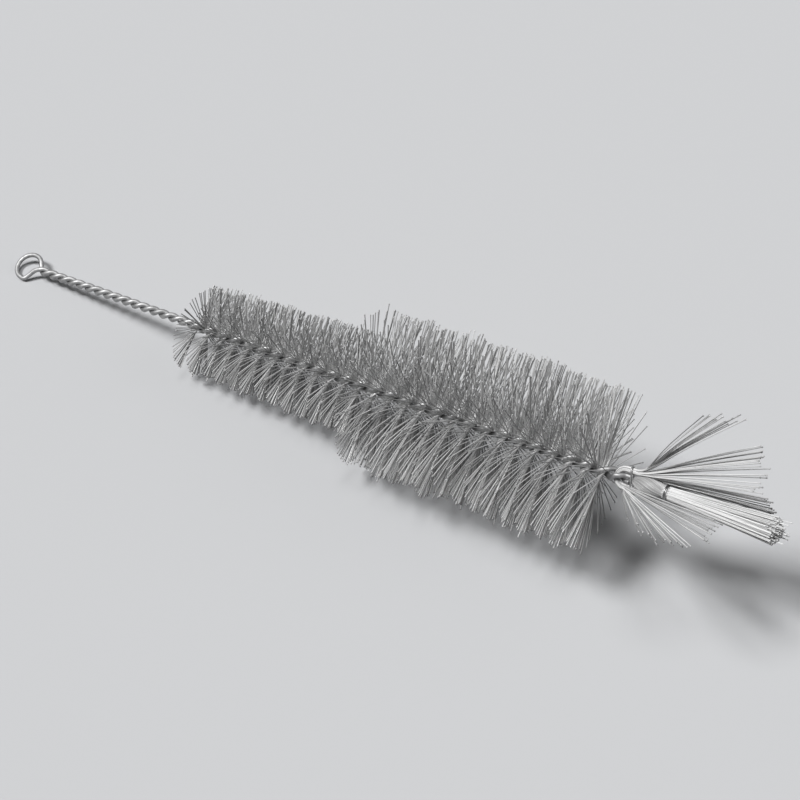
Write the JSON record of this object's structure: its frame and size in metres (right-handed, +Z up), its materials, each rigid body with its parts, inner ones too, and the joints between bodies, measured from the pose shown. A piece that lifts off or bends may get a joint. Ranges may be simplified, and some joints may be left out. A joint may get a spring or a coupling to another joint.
{
  "type": "bottle brush",
  "caption": "Twisted-wire bottle brush with a finger loop, a narrow and a wide bristle part, a fan tip and a white tip tuft.",
  "frame": {"origin": "centre of the finger loop", "axes": "+X from the finger loop to the tip, +Z up from the surface that the brush lies on"},
  "size_m": [0.4198, 0.1012, 0.1135],
  "materials": {
    "steel_wire": "satin",
    "binding_wire": "satin",
    "clear_nylon": "gloss",
    "white_nylon": "satin"
  },
  "bodies": {
    "root": {"stem_wire": "steel_wire", "rear_bristles": "clear_nylon", "front_bristles": "clear_nylon", "fan_bristles": "clear_nylon", "neck_binding": "binding_wire", "tip_tuft": "white_nylon", "tuft_binding": "binding_wire"}
  },
  "joints": []
}
